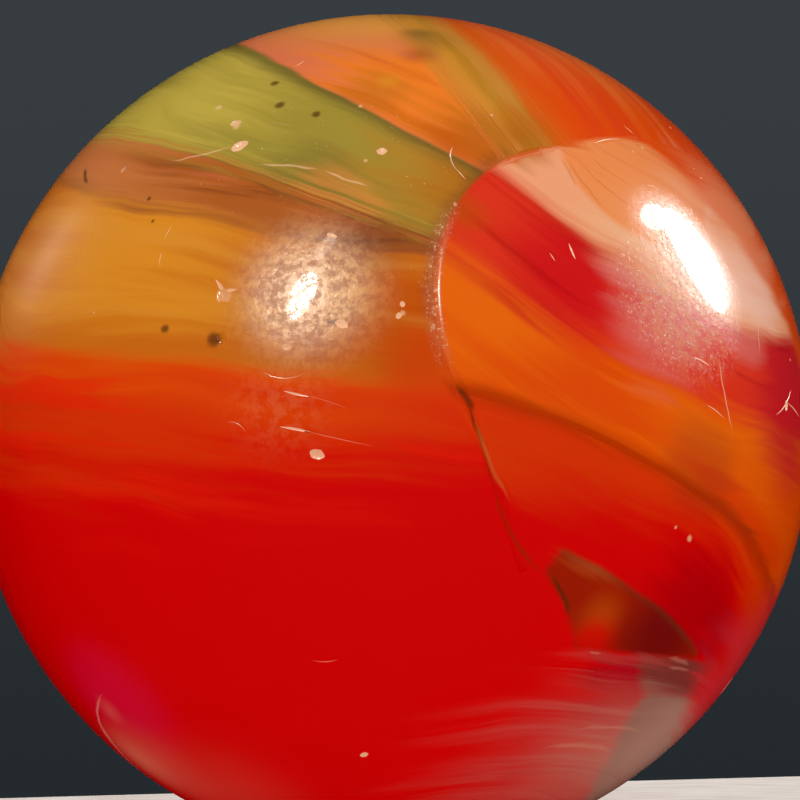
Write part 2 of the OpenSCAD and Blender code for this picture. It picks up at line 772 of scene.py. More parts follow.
# Right of the fold they fan out from its edge.
RIGHT_BANDS = (
    Tint(Glass.ORANGE, (Area(11, 17, 9, 6),), 0.8),
    Tint(Glass.ORANGE, (Area(50, 2, 12, 7),), 0.5),
    Tint(Glass.ORANGE, (Area(73, 56, 68, 6),), 0.6, (0.48, 0.66)),
    Tint(Glass.SCARLET, (SCARLET_EDGE,)),
    Tint(Glass.CRIMSON, (Area(25, 20, 8, 5), SCARLET_EDGE), 0.9),
    # Rose of the frost below the window lamp's highlight, partly painted haze of that lamp.
    Tint(Glass.ROSE, (Area(38.5, 14.5, 6.5, 4),), 0.6),
    Tint(Glass.CARMINE, (Area(68, 6, 10, 5),), 0.8),
    # Rose of the frost at the foot of the window lamp's highlight, partly painted haze of that lamp.
    Tint(Glass.ROSE, (Area(56, 14, 5, 2.5),), 0.6),
    Tint(Glass.DARK_RED, (SCARLET_EDGE,), 0.5, (0.52, 0.66), Layer.DARK),
    Tint(Glass.RUST, (Area(10, 29, 2.5, 2.5),), 0.7),
    Tint(Glass.PEACH, (PEACH_EDGE,)),
    Tint(Glass.PALE_PEACH, (Area(37, 28, 5, 4),), 0.6),
    Tint(Glass.GRAIN_AND_GLINT, (Area(62, 20, 6, 5), PEACH_EDGE), 0.65),
    # Pale grain and a painted highlight: the window lamp's glint carried up its right side.
    Tint(Glass.GRAIN_AND_GLINT, (Area(55, 33, 4, 3), PEACH_EDGE), 0.5),
    Tint(Glass.BRONZE, (Area(22.5, 40.5, 3, 2),), 0.6),
    # Rose of the frost beside the window lamp's highlight, partly painted haze of that lamp.
    Tint(Glass.ROSE, (Area(33.5, 21.5, 2.5, 2.5),), 0.6),
    Tint(Glass.TAN, (Area(45, 37, 12, 0.8),), 0.8),
    Tint(Glass.SALMON, (PEACH_EDGE,), 0.6, (0.5, 0.64), Layer.DARK),
    Tint(Glass.ORANGE_RED, (Area(47, -29, 71.3, 0.8, True),)),
    Tint(Glass.ORANGE_RED, (Area(157, 36, 77.4, 2),)),
    Tint(Glass.AMBER, (Area(150, 32, 26, 14),), 0.8, (0.44, 0.6)),
    Tint(Glass.PEACH, (Area(128, 2, 30, 12),), 0.6, (0.5, 0.62)),
    Tint(Glass.CRIMSON, (Area(150, -2, 34, 14),), 0.8, (0.46, 0.6), Layer.DARK),
    Tint(Glass.DEEP_RED, (Area(164, -44, 36, 8),)),
    Tint(Glass.TAN, (Area(62, 68, 14, 10),), 0.45),
    Tint(Glass.PEACH, (Area(66, 29, 10, 6),), 0.5),
    Tint(Glass.SCARLET, (Area(47, -29, 71.3, 0.8, True),), 0.45, (0.48, 0.68)),
    Tint(Glass.RED_ORANGE, (Area(-24, -64, 73.5, 1.0),)),
    Tint(Glass.DEEP_RED, (Area(15, -54, 47.8, 5.0),)),
    Tint(Glass.ORANGE_RED, (Area(-24, -64, 73.5, 1.0), Area(15, -54, 50, 6, True)), 0.7, (0.48, 0.6)),
    Tint(Glass.RED_ORANGE, (UNDER_AMBER, Area(-24, -64, 72, 2, True), Area(58, -8, 16, 5)), 0.7),
    Tint(Glass.MAROON, (Area(44, -5, 6, 3),), 0.3),
    Tint(Glass.DARK_LINE, (Area(-24, -64, 74.6, 0.9), Area(-24, -64, 72.4, 1.4, True)), 0.6),
    Tint(Glass.UMBER, (Area(-24, -64, 75, 1), Area(-24, -64, 72, 1.4, True), Area(56, -3, 8, 5)), 0.6),
    Tint(Glass.DEEP_RED, (Area(48, -19, 12, 5), Area(-24, -64, 71, 2)), 0.8),
    Tint(Glass.DARK_RED, (Area(47, -24, 9, 6),), 0.7),
)

# The dark window low on the right, and the milky glass under it.
LOW_BANDS = (
    Tint(Glass.DEEP_EMBER, (WINDOW, WINDOW_TOP, WINDOW_SIDE, WINDOW_FOOT), 0.9),
    Tint(Glass.EMBER, (Area(31, -24, 2.6, 2.5), WINDOW_TOP, WINDOW_SIDE), 0.6, smooth=True),
    Tint(Glass.DEEP_RED, (Area(30.5, -27.5, 3.2, 2), WINDOW_SIDE, WINDOW_FOOT), 0.8, smooth=True),
    Tint(Glass.SMOKE, (Area(43.5, -27, 6.5, 5), WINDOW_TOP, WINDOW_FOOT), 0.7, smooth=True),
    Tint(Glass.UMBER, (WINDOW, WINDOW_TOP, Area(-19, -62, 55.3, 0.4, True), WINDOW_FOOT), 0.4),
    Tint(Glass.FAWN, (WINDOW_TOP, Area(-19, -62, 54.4, 0.8, True), Area(28, -17.5, 3, 4)), 0.3),
    Tint(Glass.WINE, (Area(56, -31, 5, 4), Area(-19, -62, 56.5, 1, True)), 0.8),
    Tint(Glass.WINE, (Area(44, -33, 10, 4), UNDER_WINDOW), 0.7),
    Tint(Glass.GREY_BROWN, (Area(87, 0, 53.4, 1.2), BLOCK, UNDER_WINDOW), 0.9),
    Tint(Glass.DIM_CORAL, (UNDER_WINDOW, Area(-16, -84, 55.9, 1, True), Area(37, -31, 8, 4)), 0.5),
    Tint(Glass.DARK_RED, (Area(33, -33, 1.2, 2.5),), 0.5, smooth=True),
    Tint(Glass.DIM_CORAL, (MILK_TOP, Area(42, -48, 13, 9)), 0.6, smooth=True),
    Tint(Glass.DIM_CORAL, (MILK_TOP, Area(37, -50, 18, 9)), 0.45, (0.38, 0.64)),
    Tint(Glass.PALE_CORAL, (MILK_TOP, Area(46, -47, 8, 8)), 0.6, smooth=True),
    Tint(Glass.PALE_CORAL, (MILK_TOP, Area(42, -48, 12, 8)), 0.3, (0.46, 0.66)),
    Tint(Glass.MILK, (MILK_TOP, Area(95, -17, 48.8, 1.5)), 0.95),
    Tint(Glass.PALE_MILK, (MILK_TOP, Area(64, -46, 10, 7)), 0.7, smooth=True),
    Tint(Glass.PALE_MILK, (MILK_TOP, Area(52, -48, 14, 10)), 0.2, (0.5, 0.75)),
    Tint(Glass.DARK_RED, (MILK_TOP, Area(42, -52, 18, 12)), 0.2, (0.5, 0.75), Layer.DARK),
    Tint(Glass.CORAL_RED, (Area(88, -12, 35.5, 3), Area(85, -45, 24, 8)), 0.85),
    Tint(Glass.OLD_GOLD, (Area(180, 24, 24, 14),), 0.85, (0.42, 0.58)),
    Tint(Glass.SCARLET, (Area(186, -8, 30, 14),), 0.8, (0.44, 0.58), Layer.DARK),
    Tint(Glass.PINK_RED, (Area(-53, -38, 8, 5),), 0.75, smooth=True),
    Tint(Glass.CORAL, (Area(-58, -50, 6, 6),), 0.8, smooth=True),
    Tint(Glass.CORAL, (Area(-42, -56, 8, 9),), 0.35, smooth=True),
    Tint(Glass.CRESCENT, (Area(-63, -49, 3, 5),), 0.4, smooth=True),
    Tint(Glass.CRESCENT, (Area(-57, -39.5, 1, 2.5),), 0.3, smooth=True),
)

# The right side's colours show where any of these groups of areas is.
RIGHT_SIDE = (
    (Area(31, 16, 24.3, 0.4),),
    (Area(97, 30, 87, 0.5), Area(0, -90, 97, 2)),
    (Area(97, 32, 50.5, 2.5),),
    (Area(100, 16, 60, 2),),
    (Area(150, 6, 42, 2),),
)

# How the glass was drawn on each side of the fold, and low down on both. Outside the draws'
# areas the streaks run round the side's own pole.
LEFT_POLE = Place(60, 84)
RIGHT_POLE = Place(70, 53)
LEFT_DRAWS = (
    Draw(Place(95, 65), (OLIVE_EDGE,)),
    Draw(Place(98, 28), (FEATHER, CROWN_EDGE)),
)
RIGHT_DRAWS = (
    Draw(Place(-28, 30), (Area(47, -29, 71.3, 0.5, True),)),
    Draw(Place(-24, -64), (Area(-24, -64, 73.5, 0.5),)),
)
LOW_DRAWS = (Draw(Place(24, -76), (Area(5, -77, 48, 2),)),)

# Hairlines of other glass, and the edges of the fold. Each is a start, a middle, an end and a
# half width, in degrees.
DARK_LINES = (
    # Painted shade in the pocket where the fold's bend ends; the pocket is not cut into the ball.
    line(8, 6.5, 9.5, 4.5, 10.5, 2.5, 0.8),
    line(10, 2.8, 10.8, 0.8, 12, -2, 0.3),
    line(21.5, -17.5, 24, -21, 26, -24.5, 0.5),
    line(-65, 38.5, -61.5, 36.5, -58.5, 35, 0.45),
    line(-9, 14, -7.5, 14.3, -6.5, 14, 0.5),
)
SEAM_LINES = (
    line(10, 2.8, 11.2, -0.8, 14, -9, 0.35),
    line(13.5, -8, 15.8, -12.8, 22, -19, 0.4),
)
BROWN_LINES = (
    line(30, 38.5, 31.5, 34, 34.5, 29, 0.3),
    line(32, 39.5, 35, 34, 41, 30, 0.25),
    line(34, 40, 38, 36, 43, 33, 0.25),
    line(28.5, 39, 29.5, 36, 30, 33, 0.3),
    line(10.5, 2, 12.5, -3.5, 16, -9.5, 0.45),
)
PALE_LINES = (
    line(-40.5, 38, -33.5, 39, -31, 39.5, 0.25),
    line(-23, 37, -16.5, 36.8, -11, 36, 0.3),
    line(-11, 36, -7, 34.5, -2.5, 33, 0.25),
    line(48.5, 8.5, 49, 5, 51, -1, 0.2),
    line(62, 18, 60, 14, 58.5, 9.5, 0.2),
)
PINK_LINES = (
    line(-56.5, -37, -65, -41.5, -75, -49.5, 0.35),
    line(-66, -42.5, -73, -48.2, -82, -56, 0.6),
)
MILKY_LINES = (
    line(36.5, -41.7, 43, -41.8, 54, -43.8, 0.5),
    line(27, -45.3, 38.5, -45, 48, -47, 0.7),
    line(46.5, -30.4, 50, -31, 54, -32, 0.5),
    line(48, -32, 51, -32.3, 55, -33, 0.4),
    line(30, -29, 31.5, -29.2, 33, -29.3, 0.3),
)
DARK_SPOTS = (
    Spot(-26, 53, 0.9),
    Spot(-22, 48, 1.0),
    Spot(-14, 46, 0.8),
    Spot(-23.5, 12, 1.3),
    Spot(-31, 13.5, 0.8),
    Spot(-40, 32, 0.5),
    Spot(-37.5, 28.5, 0.4),
)
PALE_SPOTS_AND_GLINTS = (
    Spot(-6, 47.5, 0.4),
    Spot(-4, 37.5, 0.35),
    Spot(-36, 48, 0.7),
    Spot(-29, 44, 0.8),
    # The next four spots are painted glints, on the small chips by the fold.
    Spot(6, 18.5, 0.5),
    Spot(1.5, 16.5, 0.5),
    Spot(1.5, 15.3, 0.5),
    Spot(5.5, 13.5, 0.45),
    Spot(9.5, 30.5, 0.4),
    Spot(49.5, 41, 0.4),
    Spot(46, 40, 0.3),
    Spot(19, 46, 0.3),
    Spot(40.5, -12, 0.3),
    Spot(43.5, -13.5, 0.6),
)


@dataclass(frozen=True)
class Wear:
    """Where the glass is worn, as masks.

    Args:
        crown: The crown, worn to a frost.
        side: The side, worn to a frost.
        dull: The side that has lost its gloss.
        seam: The crumbled rim of the fold.
        worn: All that is worn to a frost or grazed.
        mottle: Blotches over the whole ball.
        scuffs: Finer blotches over the whole ball.
        grains_and_glints: Grains on the worn side, raised in the relief and painted pale as glints.
        grit_and_glints: Pale specks scattered over the crown, and pale grains on the crumbled rim of
        the fold, painted partly as its glints.
        broken: The paleness of the broken glass in chips, pits and scratches.
    """

    crown: Feed
    side: Feed
    dull: Feed
    seam: Feed
    worn: Feed
    mottle: Feed
    scuffs: Feed
    grains_and_glints: Feed
    grit_and_glints: Feed
    broken: Feed


@dataclass(frozen=True)
class SwirledGlass:
    """The finish of the ball: drawn opaque glass, worn on its crown.

    Args:
        name: The material's name.
    """

    name: str

    worn_crown: ClassVar[Area] = Area(-11, 18.5, 8.5, 4.5)
    worn_side: ClassVar[Area] = Area(44, 18, 8.5, 5.5)
    worn_glint: ClassVar[Area] = Area(45.5, 27, 5, 3.5)
    dull_side: ClassVar[Area] = Area(-62, 24, 14, 6)
    grazed: ClassVar[Area] = Area(-14, 4, 5, 5)
    gritty: ClassVar[Area] = Area(-8, 36, 18, 10)
    crumbled_seam: ClassVar[tuple[Area, ...]] = (
        Area(31, 16, 25.2, 1.2),
        Area(31, 16, 23.5, 0.5, True),
        Area(4, 20, 10, 4),
    )
    mottle_scale: ClassVar[float] = 45.0
    hammer_scale: ClassVar[float] = 52.0
    scuff_scale: ClassVar[float] = 80.0
    grain_scale: ClassVar[float] = 130.0
    relief_depth: ClassVar[float] = 0.008

    def material(self) -> bpy.types.Material:
        """Returns the finished material.

        Returns:
            The material.
        """
        made, bench = blank_material(self.name)
        point = bench.vector("NORMALIZE", bench.node("ShaderNodeTexCoord").outputs["Object"])
        wear = self.wear(bench, point)
        # These blotches are painted pale: partly frost, partly painted haze of the key and window lamps'
        # highlights.
        frost_and_haze = bench.math("MULTIPLY", wear.worn, wear.mottle)
        glass = bench.node("ShaderNodeBsdfPrincipled", {"IOR": 1.5, "Coat Roughness": 0.05})
        bench.feed(glass.inputs["Base Color"], self.worn_colour(bench, point, wear, frost_and_haze))
        bench.feed(glass.inputs["Roughness"], self.roughness(bench, wear, frost_and_haze))
        bench.feed(glass.inputs["Coat Weight"], self.coat(bench, wear))
        bench.feed(glass.inputs["Normal"], self.relief(bench, point, wear))
        output = bench.node("ShaderNodeOutputMaterial")
        bench.feed(output.inputs["Surface"], glass.outputs["BSDF"])
        return made

    def wear(self, bench: Bench, point: Feed) -> Wear:
        """Returns where the glass is worn.

        Args:
            bench: Where the nodes are made.
            point: Where it is read.

        Returns:
            Its masks.
        """
        crown = self.worn_crown.mask(bench, point)
        side = bench.any_of(area.mask(bench, point) for area in (self.worn_side, self.worn_glint))
        seam = self.shared(bench, point, self.crumbled_seam)
        grazed = bench.math("MULTIPLY", self.grazed.mask(bench, point), 0.25)
        rubbed = bench.math("MULTIPLY", seam, 0.3)
        grain = bench.noise(point, self.grain_scale, 3.0, 0.7)
        coarse, fine = bench.ramp(grain, 0.56, 0.66), bench.ramp(grain, 0.68, 0.74)
        scattered = bench.math("MULTIPLY", fine, self.gritty.mask(bench, point))
        # Pale grains on the fold's crumbled rim, painted partly as the glints along it.
        crumbs_and_glints = bench.product(coarse, seam, 0.8)
        return Wear(
            crown=crown,
            side=side,
            dull=self.dull_side.mask(bench, point),
            seam=seam,
            worn=bench.any_of((crown, side, grazed, rubbed)),
            mottle=bench.ramp(bench.noise(point, self.mottle_scale, 3.0, 0.7), 0.4, 0.6),
            scuffs=bench.ramp(bench.noise(point, self.scuff_scale, 2.0, 0.7), 0.42, 0.58),
            # Grains on the worn side: raised in the relief, and painted pale as glints of the window lamp.
            grains_and_glints=bench.math("MULTIPLY", coarse, side),
            grit_and_glints=bench.any_of((scattered, crumbs_and_glints)),
            broken=bench.node("ShaderNodeAttribute", attribute_name="broken").outputs["Fac"],
        )

    def worn_colour(self, bench: Bench, point: Feed, wear: Wear, frost_and_haze: Feed) -> Feed:
        """Over the wear lie painted haze and glints of the lamps, and painted shade.

        Args:
            bench: Where the nodes are made.
            point: Where it is read.
            wear: Where the glass is worn.
            frost_and_haze: The frost, painted pale partly as the haze of the lamps' highlights, as a mask.

        Returns:
            The output socket.
        """
        # Darker brown in the crown between its blotches: painted shade in the gaps of the painted haze.
        haze_gaps = bench.math("SUBTRACT", wear.crown, bench.math("MULTIPLY", wear.crown, wear.mottle))
        return bench.laid(
            self.colour(bench, point),
            (wear.seam, 0.5, Glass.RUST),
            # Pale specks, and the fold's pale grains painted partly as its glints.
            (wear.grit_and_glints, 1.0, Glass.PALE_THREAD_AND_GLINT),
            (haze_gaps, 0.5, Glass.GAP_SHADE),
            # Frost, and painted haze of the lamps' highlights.
            (frost_and_haze, 0.35, Glass.FROST_AND_HAZE),
            # Grains painted pale as glints of the window lamp.
            (wear.grains_and_glints, 0.75, Glass.GRAIN_AND_GLINT),
            # Broken glass is pale; on the small chips by the fold its white is partly a painted glint.
            (wear.broken, 0.9, Glass.CHIPPED_AND_GLINT),
        )

    def roughness(self, bench: Bench, wear: Wear, frost_and_haze: Feed) -> Feed:
        """Returns how rough the glass is.

        Args:
            bench: Where the nodes are made.
            wear: Where the glass is worn.
            frost_and_haze: The frost, painted pale partly as the haze of the lamps' highlights, as a mask.

        Returns:
            The output socket.
        """
        return bench.weighed(
            0.16,
            (wear.crown, 0.26),
            (wear.side, 0.2),
            (wear.dull, 0.14),
            (wear.seam, 0.18),
            (frost_and_haze, -0.1),
            (wear.broken, 0.15),
        )

    def coat(self, bench: Bench, wear: Wear) -> Feed:
        """Returns how much of the clear gloss is left, which fades towards the ball's outline.

        Args:
            bench: Where the nodes are made.
            wear: Where the glass is worn.

        Returns:
            The output socket.
        """
        scuffed = bench.math("MULTIPLY", wear.crown, wear.scuffs)
        coat = bench.weighed(
            0.6,
            (wear.crown, -0.1),
            (wear.side, -0.25),
            (wear.dull, -0.6),
            (wear.seam, -0.6),
            (scuffed, -0.42),
        )
        facing = bench.node("ShaderNodeLayerWeight", {"Blend": 0.5}).outputs["Facing"]
        return bench.math("MULTIPLY", coat, bench.ramp(facing, 0.9, 0.55))

    def relief(self, bench: Bench, point: Feed, wear: Wear) -> bpy.types.NodeSocket:
        """Returns the normal of the hammered, pitted surface.

        Args:
            bench: Where the nodes are made.
            point: Where it is read.
            wear: Where the glass is worn.

        Returns:
            The output socket.
        """
        hammer = bench.noise(point, self.hammer_scale, 2.0, 0.6)
        hammered = bench.math("MULTIPLY", hammer, wear.worn)
        height = bench.math("MULTIPLY_ADD", wear.grains_and_glints, 0.8, hammered)
        feeds = {"Height": height, "Strength": 1.0, "Distance": self.relief_depth * MM}
        return bench.node("ShaderNodeBump", feeds).outputs["Normal"]

    def colour(self, bench: Bench, point: Feed) -> bpy.types.NodeSocket:
        """Returns the colour of the glass at a point.

        Args:
            bench: Where the nodes are made.
            point: The point.

        Returns:
            The output socket.
        """
        slow = Ripple().place(bench, Point=point, Scale=3.0, Amount=0.04, Seed=1.0)
        right_side = bench.any_of(self.shared(bench, point, areas) for areas in RIGHT_SIDE)
        pole = bench.blend(
            right_side,
            self.drawn(bench, slow, LEFT_POLE.direction(), LEFT_DRAWS),
            self.drawn(bench, slow, RIGHT_POLE.direction(), RIGHT_DRAWS),
        )
        pole = self.drawn(bench, slow, pole, LOW_DRAWS)
        layers = FlowStreaks().place(bench, Point=slow, Pole=pole, Fineness=14.0, Waver=0.12, Seed=1.0)
        streaks = bench.node("ShaderNodeSeparateColor", {"Color": layers})
        left = self.painted(bench, slow, Glass.DEEP_RED.linear(), LEFT_BANDS, streaks)
        right = self.painted(bench, slow, Glass.ORANGE_RED.linear(), RIGHT_BANDS, streaks)
        colour = self.painted(bench, slow, bench.mix(right_side, left, right), LOW_BANDS, streaks)
        wavering = Ripple().place(bench, Point=point, Scale=22.0, Amount=0.012, Seed=3.0)
        # The first dark line is painted shade in the fold's pocket, and four of the pale spots are painted
        # glints.
        marks = (
            (DARK_LINES + DARK_SPOTS, 0.75, Glass.DARK_MARK_AND_SHADE),
            (SEAM_LINES, 0.7, Glass.DARK_LINE),
            (BROWN_LINES, 0.45, Glass.FAWN),
            (MILKY_LINES, 0.3, Glass.MILKY_THREAD),
            (PINK_LINES, 0.6, Glass.PINK_THREAD),
            (PALE_LINES + PALE_SPOTS_AND_GLINTS, 0.55, Glass.PALE_THREAD_AND_GLINT),
        )
        for shapes, strength, glass in marks:
            mask = bench.any_of(shape.mask(bench, wavering) for shape in shapes)
            colour = bench.laid(colour, (mask, strength, glass))
        return colour

    def drawn(self, bench: Bench, point: Feed, pole: Feed, draws: Iterable[Draw]) -> bpy.types.NodeSocket:
        """Returns the pole of the streaks at a point.

        Args:
            bench: Where the nodes are made.
            point: Where it is read.
            pole: The pole outside all the draws' areas.
            draws: The draws, each over those before it.

        Returns:
            The output socket, a direction.
        """
        for draw in draws:
            pole = bench.blend(self.shared(bench, point, draw.areas), pole, draw.pole.direction())
        return pole

    def shared(self, bench: Bench, point: Feed, areas: Iterable[Area], tear: Feed = 0.0) -> Feed:
        """Returns what several areas share, as a mask."""
        return bench.product(*(area.mask(bench, point, tear) for area in areas))

    def painted(
        self,
        bench: Bench,
        point: Feed,
        under: Feed,
        tints: Iterable[Tint],
        streaks: bpy.types.Node,
    ) -> Feed:
        """Lays tints over a colour, one after another.

        Args:
            bench: Where the nodes are made.
            point: Where the colour is read.
            under: The colour that they lie on.
            tints: The tints, from the lowest up.
            streaks: The node that holds the layers of streaks.

        Returns:
            The colour with the tints on it.
        """
        # The streaks run from about 0.25 to 0.75, and the tear from -1 to 1.
        tear = bench.math("MULTIPLY_ADD", streaks.outputs[Layer.TEAR.value], 4.0, -2.0)
        for tint in tints:
            share = self.shared(bench, point, tint.areas, 0.0 if tint.smooth else tear)
            if tint.streaks:
                layer = streaks.outputs[tint.layer.value]
                share = bench.math("MULTIPLY", share, bench.ramp(layer, *tint.streaks))
            under = bench.laid(under, (share, tint.strength, tint.colour))
        return under


# ---------------------------------------------------------------- the ball's own shape


@dataclass(frozen=True)
class Cutter:
    """The round tool whose cut has a given width and depth in the ball.

    Args:
        ball: Radius of the ball.
        width: Width of the cut.
        depth: Depth of the cut.
    """

    ball: float
    width: float
    depth: float

    def radius(self) -> float:
        """Returns the tool's radius.

        Returns:
            The radius, in the units of the ball.
        """
        drop = self.ball - math.sqrt(self.ball**2 - self.width**2 / 4)
        below = self.depth - drop
        return (self.width**2 / 4 + below**2) / (2 * below)

    def reach(self) -> float:
        """Returns how far the tool's centre is from the ball's."""
        return self.ball - self.depth + self.radius()


@dataclass(frozen=True)
class Chip:
    """A shell-shaped chip.

    Args:
        at: Its bearing and height.
        width: Its width, in millimetres.
        depth: Its depth, in millimetres.
        stretch: Its length over its width.
        turn: How far its length is turned from level, in degrees.
        pale: How pale its broken glass is, from 0 to 1.
    """

    at: tuple[float, float]
    width: float
    depth: float
    stretch: float = 1.0
    turn: float = 0.0
    pale: float = 1.0


@dataclass(frozen=True)
class Groove:
    """A groove along a chain of directions from the ball's centre.

    Args:
        path: The directions.
        width: Its width, in millimetres.
        depth: Its depth, in millimetres.
        taper: The share of its length at each end along which it runs out.
        pale: How pale its broken glass is, from 0 to 1.
    """

    path: tuple[Vector, ...]
    width: float
    depth: float
    taper: float = 0.0
    pale: float = 1.0

    def cutters(self, ball: float) -> tuple[Cutter, ...]:
        """Returns the cutter at each point of the path, for a ball of a given radius in metres.

        Args:
            ball: Radius of the ball, in metres.

        Returns:
            The cutters, in metres.
        """
        found = []
        for step in range(len(self.path)):
            along = step / (len(self.path) - 1)
            full = 1.0 if not self.taper else min(1.0, 0.2 + 0.8 * min(along, 1 - along) / self.taper)
            found.append(Cutter(ball, self.width * MM * full, self.depth * MM * full))
        return tuple(found)


@dataclass(frozen=True)
class Mark:
    """One point of the mesh that says what is cut into the ball.

    Args:
        place: The centre of its cutter.
        tool: The cutter's radius.
        pale: How pale the broken glass of its cut is, from 0 to 1.
        turn: How far its length is turned from level, in radians.
        rough: How ragged its cutter is.
        uneven: How much the width of its groove varies.
        scale: The size of its cutter along each of its own axes.
    """

    place: Vector
    tool: float
    pale: float
    turn: float = 0.0
    rough: float = 0.0
    uneven: float = 0.0
    scale: tuple[float, float, float] = (1.0, 1.0, 1.0)


def frame_at(place: Place) -> tuple[Vector, Vector, Vector]:
    """Returns the directions out of the ball, level and up along it at a place.

    Args:
        place: The place.

    Returns:
        The three unit vectors.
    """
    out = place.direction()
    level = Vector((0, 0, 1)).cross(out).normalized()
    return out, level, out.cross(level)


def ring(centre: Place, radius: float, start: float, stop: float, step: float) -> tuple[Vector, ...]:
    """Follows part of a circle drawn on the ball.

    Args:
        centre: The circle's centre.
        radius: Its radius, in degrees.
        start: Where it starts, in degrees round the centre from the direction of rising bearing.
        stop: Where it stops.
        step: Degrees round the centre from point to point, at most.

    Returns:
        The directions from the ball's centre to its points.
    """
    out, level, up = frame_at(centre)
    count = math.ceil(abs(stop - start) / step)
    opening = math.radians(radius)
    found = []
    for i in range(count + 1):
        angle = math.radians(start + (stop - start) * i / count)
        side = level * math.cos(angle) + up * math.sin(angle)
        found.append(out * math.cos(opening) + side * math.sin(opening))
    return tuple(found)


def run(start: Vector, heading: Vector, length: float, step: float) -> tuple[Vector, ...]:
    """Follows a straight run over the ball.

    Args:
        start: The direction to its first point.
        heading: The way it sets off.
        length: Its length, in degrees.
        step: Degrees from point to point, at most.

    Returns:
        The directions to its points, without the first.
    """
    count = math.ceil(length / step)
    angles = (math.radians(length * i / count) for i in range(1, count + 1))
    return tuple(start * math.cos(angle) + heading * math.sin(angle) for angle in angles)


